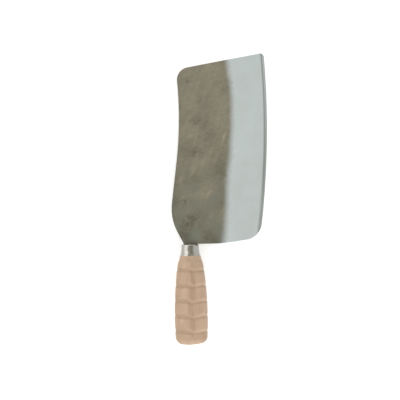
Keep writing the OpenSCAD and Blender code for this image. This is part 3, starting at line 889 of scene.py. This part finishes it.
def pale_wood():
    """Close-grained pale hardwood, carved and thinly waxed: warm tan with a fine, long grain, darker
    with painted shade in the cuts and grime round the butt, paler with painted light in the grooves."""
    material, tree = new_material("hardwood_carved_waxed")
    place = add(tree, "ShaderNodeTexCoord").outputs["Object"]
    grime_and_shade = add(tree, "ShaderNodeAttribute", attribute_name="grime_and_shade").outputs["Fac"]
    groove_light = add(tree, "ShaderNodeAttribute", attribute_name="groove_light").outputs["Fac"]
    drawn = add(tree, "ShaderNodeMapping", {"Vector": place, "Scale": (1, 0.08, 1)})
    fibre = add(tree, "ShaderNodeTexNoise", {
        "Vector": drawn.outputs[0], "Scale": per_mm(1.6), "Detail": 5.0, "Roughness": 0.6})
    figured = add(tree, "ShaderNodeMapping", {"Vector": place, "Scale": (1, 0.3, 1)})
    figure = add(tree, "ShaderNodeTexNoise", {
        "Vector": figured.outputs[0], "Scale": per_mm(6), "Detail": 3.0, "Distortion": 0.5})
    both = add(tree, "ShaderNodeMath", {
        0: fibre.outputs["Fac"], 1: FIBRE_SHOWS, 2: figure.outputs["Fac"]}, operation="MULTIPLY_ADD")
    ramp = add(tree, "ShaderNodeMapRange", {"Value": both.outputs[0], "From Min": 0.5, "From Max": 1.0})
    wood = add(tree, "ShaderNodeMix", {
        "Factor": ramp.outputs[0], 6: linear("#BB9D82"), 7: linear("#CCAF93")}, data_type="RGBA")
    # painted light: paler in the grooves on the side towards the edge
    pale = add(tree, "ShaderNodeMath", {0: groove_light, 1: GROOVE_LIGHT_SHOWS}, operation="MULTIPLY")
    wood = add(tree, "ShaderNodeMix", {
        "Factor": pale.outputs[0], 6: wood.outputs[2], 7: linear("#DCC0A4")}, data_type="RGBA")
    # painted shade and grime darken the wood towards this colour
    dirt_and_shade = add(tree, "ShaderNodeMath", {0: grime_and_shade, 1: GRIME_AND_SHADE_SHOWS}, operation="MULTIPLY")
    colour = add(tree, "ShaderNodeMix", {
        "Factor": dirt_and_shade.outputs[0], 6: wood.outputs[2], 7: linear("#A4866A")}, data_type="RGBA")
    bump = add(tree, "ShaderNodeBump", {
        "Height": fibre.outputs["Fac"], "Strength": 0.12, "Distance": 0.2 * MM})
    shader = add(tree, "ShaderNodeBsdfPrincipled", {
        "Base Color": colour.outputs[2], "Roughness": 0.5, "IOR": 1.5, "Normal": bump.outputs[0]})
    add(tree, "ShaderNodeOutputMaterial", {"Surface": shader.outputs[0]})
    return material


def dull_iron(name, dark, light):
    """Iron left as forged or stamped: dull, with a mottled skin."""
    material, tree = new_material(name)
    place = add(tree, "ShaderNodeTexCoord").outputs["Object"]
    mottle = add(tree, "ShaderNodeTexNoise", {"Vector": place, "Scale": per_mm(2), "Detail": 5.0})
    colour = add(tree, "ShaderNodeMix", {
        "Factor": mottle.outputs["Fac"], 6: linear(dark), 7: linear(light)}, data_type="RGBA")
    bump = add(tree, "ShaderNodeBump", {
        "Height": mottle.outputs["Fac"], "Strength": 0.3, "Distance": 0.15 * MM})
    shader = add(tree, "ShaderNodeBsdfPrincipled", {
        "Base Color": colour.outputs[2], "Roughness": 0.5, "Metallic": 0.9, "Normal": bump.outputs[0]})
    add(tree, "ShaderNodeOutputMaterial", {"Surface": shader.outputs[0]})
    return material


# The knife's place, from the frame

def knife_matrix():
    """The knife's own frame: the core's two flat faces give its middle plane and its long
    direction, and the ferrule gives the middle of the heel."""
    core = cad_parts["edge_steel"].data
    up = max((p for p in core.polygons if p.normal.z > 0), key=lambda p: p.area).normal
    down = max((p for p in core.polygons if p.normal.z < 0), key=lambda p: p.area).normal
    z_axis = (up - down).normalized()
    y_axis = (up + down).normalized()
    y_axis = (y_axis - z_axis * y_axis.dot(z_axis)).normalized()
    x_axis = y_axis.cross(z_axis)
    turn = Matrix((x_axis, y_axis, z_axis)).transposed()
    ends = [turn.transposed() @ v.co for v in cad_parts["ferrule"].data.vertices]
    low = [min(p[i] for p in ends) for i in range(3)]
    high = [max(p[i] for p in ends) for i in range(3)]
    origin = turn @ Vector(((low[0] + high[0]) / 2, high[1], (low[2] + high[2]) / 2))
    return Matrix.Translation(origin) @ turn.to_4x4()


def dress():
    matrix = knife_matrix()
    iron, core, sheet, wood = forged_iron(), honed_steel(), bright_sheet(), pale_wood()
    upper = soft_iron_layer("forged_upper_layer", 1, 1, UPPER_STEP, matrix)
    lower = soft_iron_layer("forged_lower_layer", -1, 2, LOWER_STEP, matrix)
    made = [
        (upper, iron, "upper_cladding", "forged_iron"),
        (lower, iron, "lower_cladding", "forged_iron"),
        (hard_core("honed_core_layer", UPPER_STEP, matrix), core, "edge_steel", "edge_steel"),
        (drawn_ferrule("drawn_ferrule", matrix), sheet, "ferrule", "sheet_steel"),
        (carved_handle("carved_handle", matrix), wood, "handle", "wood"),
    ]
    for piece, material, node, slot in made:
        piece.data.materials.clear()
        piece.data.materials.append(material)
        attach(piece, RIDES_ON)
        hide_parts(node)
    kept = {
        "tang": dull_iron("tang_iron_forged", "#4A4844", "#6A6862"),
        "butt_washer": dull_iron("washer_steel_stamped", "#8C8C88", "#AFAFAA"),
    }
    for node, material in kept.items():
        mesh_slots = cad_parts[node].material_slots
        for i in range(len(mesh_slots)):
            mesh_slots[i].link = "OBJECT"
            mesh_slots[i].material = material


# Floor, light and camera

# The photograph was taken from straight above: camera height above the table, half of its
# angle of view, its distance beside the middle of the heel, and its turn
CAMERA_H = 700
HALF_VIEW = 17.447
CAMERA_X = 11.5
CAMERA_Y = 47.3
CAMERA_TURN = -1.0

# Floor: how much it glows to the camera and in what mirrors it, over what the lights give
FLOOR_HALF = 3
FLOOR_SEEN = 0.45
FLOOR_MIRRORED = 0.25

# Room: its light on dull surfaces; in mirrors, white walls with a darker gap overhead, given by
# the middle and the half width of the gap along each direction and how soft its edge is
ROOM_LIGHT = 0.74
WALL_LEFT, WALL_RIGHT = 0.94, 0.88
GAP = (("X", 0.09, 0.55), ("Y", 0.2, 0.4))
GAP_EDGE = 0.08
GAP_COLOUR = "#A09F8B"

# Softboxes: name, place, size and power, all turned to the middle of the table
SOFTBOXES = (
    ("upper_left_softbox", (-1.3, 0.6, 0.9), 1.4, 6),
    ("lower_right_softbox", (0.35, -1.5, 0.68), 1.2, 12),
)


def white_floor():
    """Pale table top: white to the camera and in reflections, and it keeps the knife's soft shadow."""
    material, tree = new_material("floor_white_paper")
    seen = add(tree, "ShaderNodeLightPath")
    shown = add(tree, "ShaderNodeMath", {
        0: seen.outputs["Is Camera Ray"], 1: seen.outputs["Is Transmission Ray"]}, operation="MAXIMUM")
    shown = add(tree, "ShaderNodeMath", {0: shown.outputs[0], 1: FLOOR_SEEN}, operation="MULTIPLY")
    glow = add(tree, "ShaderNodeMath", {
        0: seen.outputs["Is Glossy Ray"], 1: FLOOR_MIRRORED, 2: shown.outputs[0]}, operation="MULTIPLY_ADD")
    paper = add(tree, "ShaderNodeBsdfDiffuse", {"Color": linear("#EEEEEC")})
    light = add(tree, "ShaderNodeEmission", {"Color": (1, 1, 1, 1), "Strength": glow.outputs[0]})
    both = add(tree, "ShaderNodeAddShader", {0: paper.outputs[0], 1: light.outputs[0]})
    add(tree, "ShaderNodeOutputMaterial", {"Surface": both.outputs[0]})
    mesh = bpy.data.meshes.new("floor")
    bm = bmesh.new()
    bmesh.ops.create_grid(bm, x_segments=2, y_segments=2, size=FLOOR_HALF)
    bm.to_mesh(mesh)
    bm.free()
    floor = bpy.data.objects.new("floor", mesh)
    floor.data.materials.append(material)
    bpy.context.scene.collection.objects.link(floor)


def softbox(name, place, size, power):
    lamp = bpy.data.lights.new(name, "AREA")
    lamp.shape, lamp.size, lamp.energy = "SQUARE", size, power
    obj = bpy.data.objects.new(name, lamp)
    obj.location = place
    obj.rotation_euler = (-Vector(place)).to_track_quat("-Z", "Y").to_euler()
    bpy.context.scene.collection.objects.link(obj)


def light_and_camera():
    scene = bpy.context.scene
    scene.view_settings.view_transform = "Standard"
    world = bpy.data.worlds.new("studio")
    world.use_nodes = True
    scene.world = world
    tree = world.node_tree
    tree.nodes.clear()
    way = add(tree, "ShaderNodeSeparateXYZ", {0: add(tree, "ShaderNodeTexCoord").outputs["Generated"]})
    gap = None
    for side, middle, half in GAP:
        off = add(tree, "ShaderNodeMath", {0: way.outputs[side], 1: middle}, operation="SUBTRACT")
        off = add(tree, "ShaderNodeMath", {0: off.outputs[0]}, operation="ABSOLUTE")
        inside = add(tree, "ShaderNodeMapRange", {
            "Value": off.outputs[0], "From Min": half - GAP_EDGE, "From Max": half + GAP_EDGE,
            "To Min": 1.0, "To Max": 0.0}, interpolation_type="SMOOTHSTEP")
        gap = inside if gap is None else add(
            tree, "ShaderNodeMath", {0: gap.outputs[0], 1: inside.outputs[0]}, operation="MULTIPLY")
    above = add(tree, "ShaderNodeMath", {0: way.outputs["Z"], 1: 0.0}, operation="GREATER_THAN")
    gap = add(tree, "ShaderNodeMath", {0: gap.outputs[0], 1: above.outputs[0]}, operation="MULTIPLY")
    wall = add(tree, "ShaderNodeMapRange", {
        "Value": way.outputs["X"], "From Min": -1.0, "To Min": WALL_LEFT, "To Max": WALL_RIGHT})
    room = add(tree, "ShaderNodeMix", {
        "Factor": gap.outputs[0], 6: wall.outputs[0], 7: linear(GAP_COLOUR)}, data_type="RGBA")
    seen = add(tree, "ShaderNodeLightPath")
    lit = add(tree, "ShaderNodeMix", {
        "Factor": seen.outputs["Is Glossy Ray"], 6: (ROOM_LIGHT, ROOM_LIGHT, ROOM_LIGHT, 1),
        7: room.outputs[2]}, data_type="RGBA")
    shown = add(tree, "ShaderNodeMix", {
        "Factor": seen.outputs["Is Camera Ray"], 6: lit.outputs[2], 7: (1, 1, 1, 1)}, data_type="RGBA")
    sky = add(tree, "ShaderNodeBackground", {"Color": shown.outputs[2], "Strength": 1.0})
    add(tree, "ShaderNodeOutputWorld", {"Surface": sky.outputs[0]})
    for lamp in SOFTBOXES:
        softbox(*lamp)
    lens = bpy.data.cameras.new("camera")
    lens.sensor_width = 36
    lens.lens = lens.sensor_width / 2 / math.tan(math.radians(HALF_VIEW))
    lens.clip_start, lens.clip_end = 0.01, 20
    camera = bpy.data.objects.new("camera", lens)
    heel = knife_matrix().translation
    camera.location = (heel.x + CAMERA_X * MM, heel.y + CAMERA_Y * MM, CAMERA_H * MM)
    camera.rotation_euler = (0, 0, math.radians(CAMERA_TURN))
    scene.collection.objects.link(camera)
    scene.camera = camera


dress()
white_floor()
light_and_camera()
